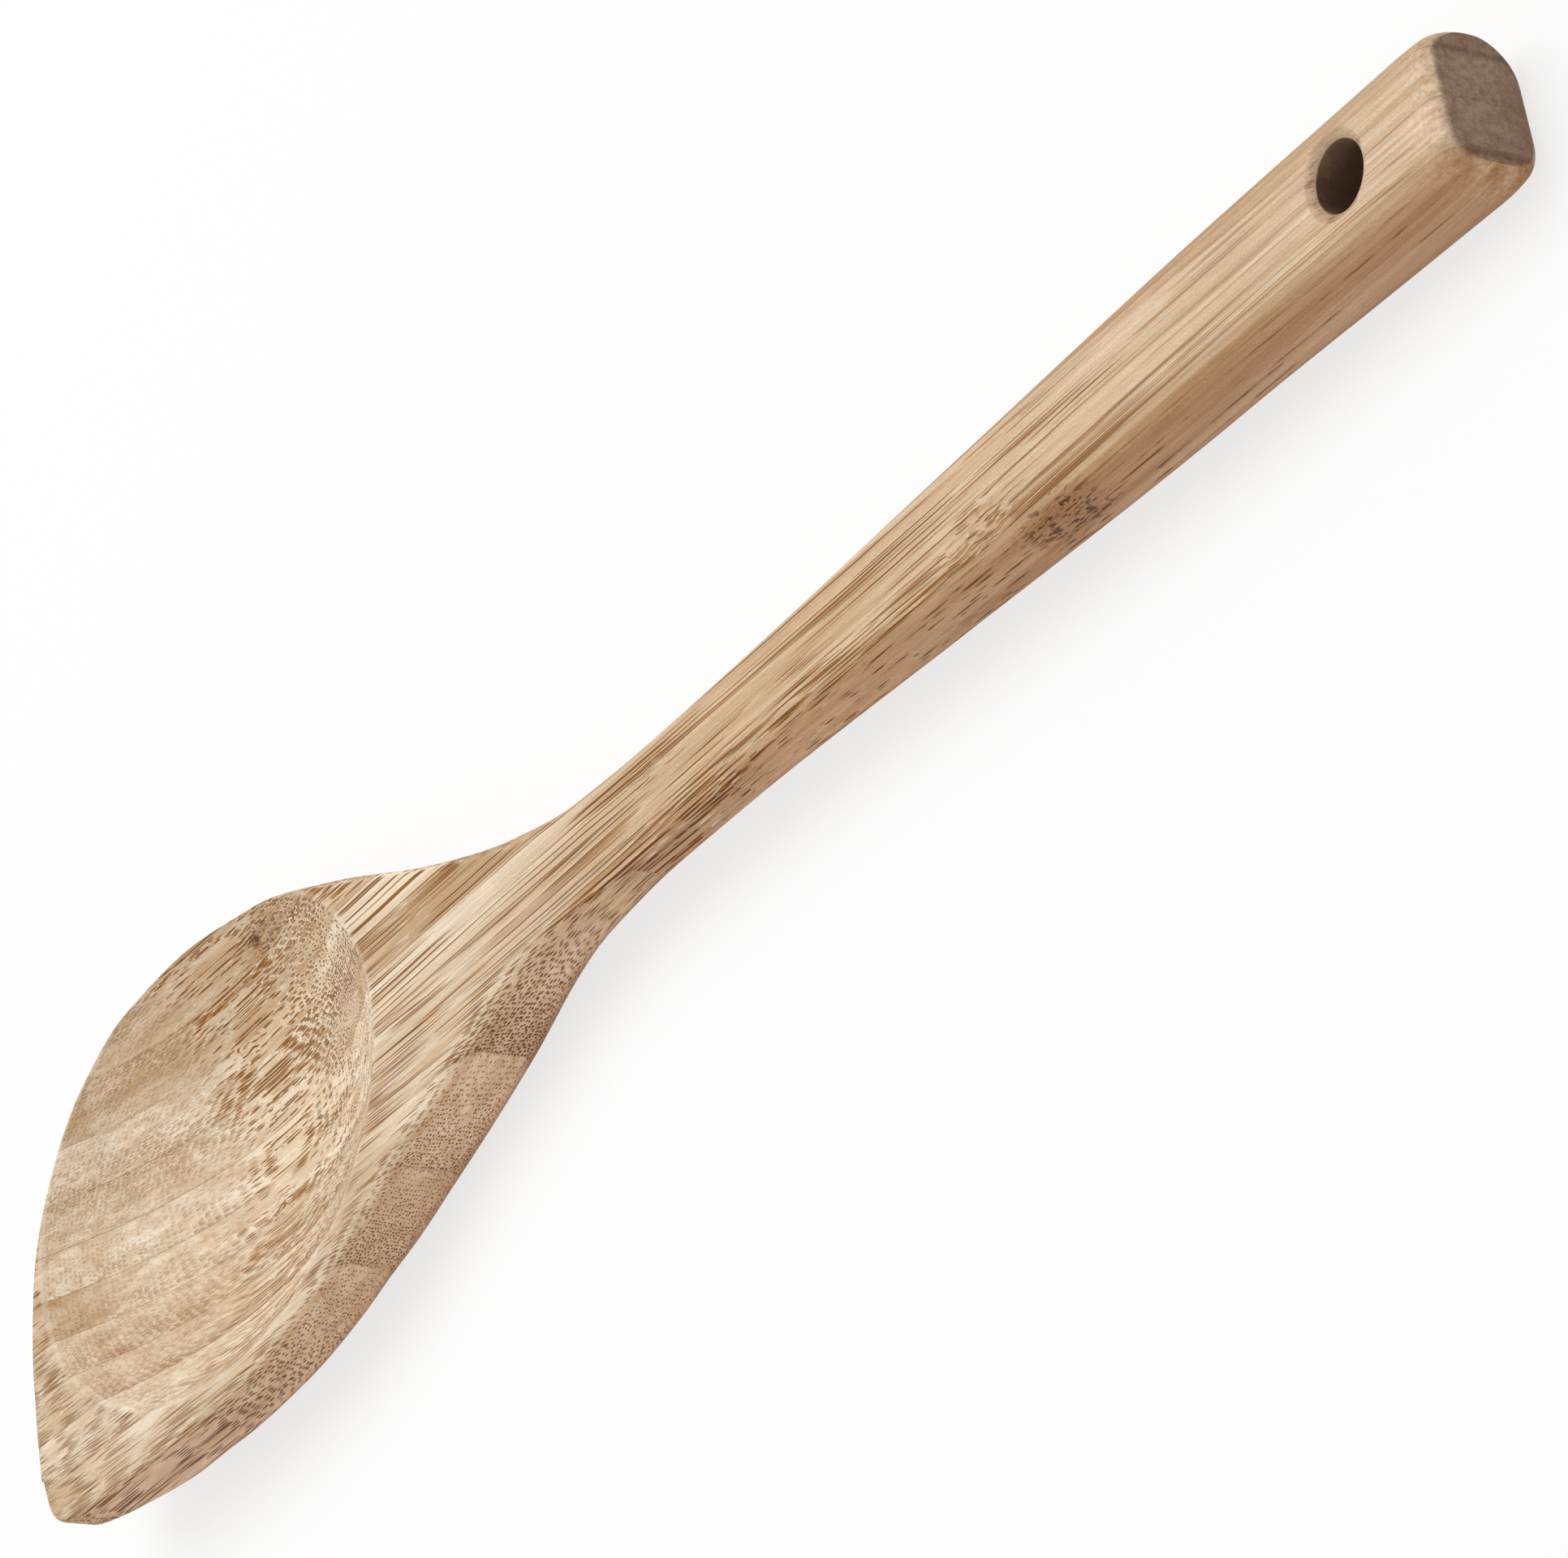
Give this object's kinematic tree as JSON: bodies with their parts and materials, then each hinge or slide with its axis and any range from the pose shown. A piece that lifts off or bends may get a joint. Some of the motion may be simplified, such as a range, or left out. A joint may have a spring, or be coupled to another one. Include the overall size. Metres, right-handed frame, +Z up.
{
  "type": "cooking spoon",
  "caption": "Long-handled cooking spoon milled from glued bamboo strips, with a shallow oval hollow, one pointed corner at the tip and a hanging hole through the handle's end.",
  "frame": {"origin": "under the middle of the spoon's box, on the surface that it lies on; y = 0 is the glue joint along the middle of the handle", "axes": "+X along the spoon from the pointed tip of the bowl to the butt of the handle, +Y to the side of the bowl that has the round edge, +Z up out of the hollow"},
  "size_m": [0.3, 0.0606, 0.0156],
  "materials": {
    "pale_bamboo": "satin, oiled bamboo with brown fibre streaks",
    "dark_bamboo": "satin, oiled bamboo with brown fibre streaks, a darker strip"
  },
  "bodies": {
    "root": {"far_rim_strip": "pale_bamboo", "far_outer_strip": "pale_bamboo", "far_bowl_strip": "pale_bamboo", "far_shoulder_strip": "dark_bamboo", "far_handle_edge": "pale_bamboo", "far_core_strip": "pale_bamboo", "near_core_strip": "pale_bamboo", "near_handle_edge": "pale_bamboo", "near_shoulder_strip": "pale_bamboo", "near_bowl_strip": "pale_bamboo", "near_outer_strip": "pale_bamboo", "near_rim_strip": "dark_bamboo"}
  },
  "joints": []
}
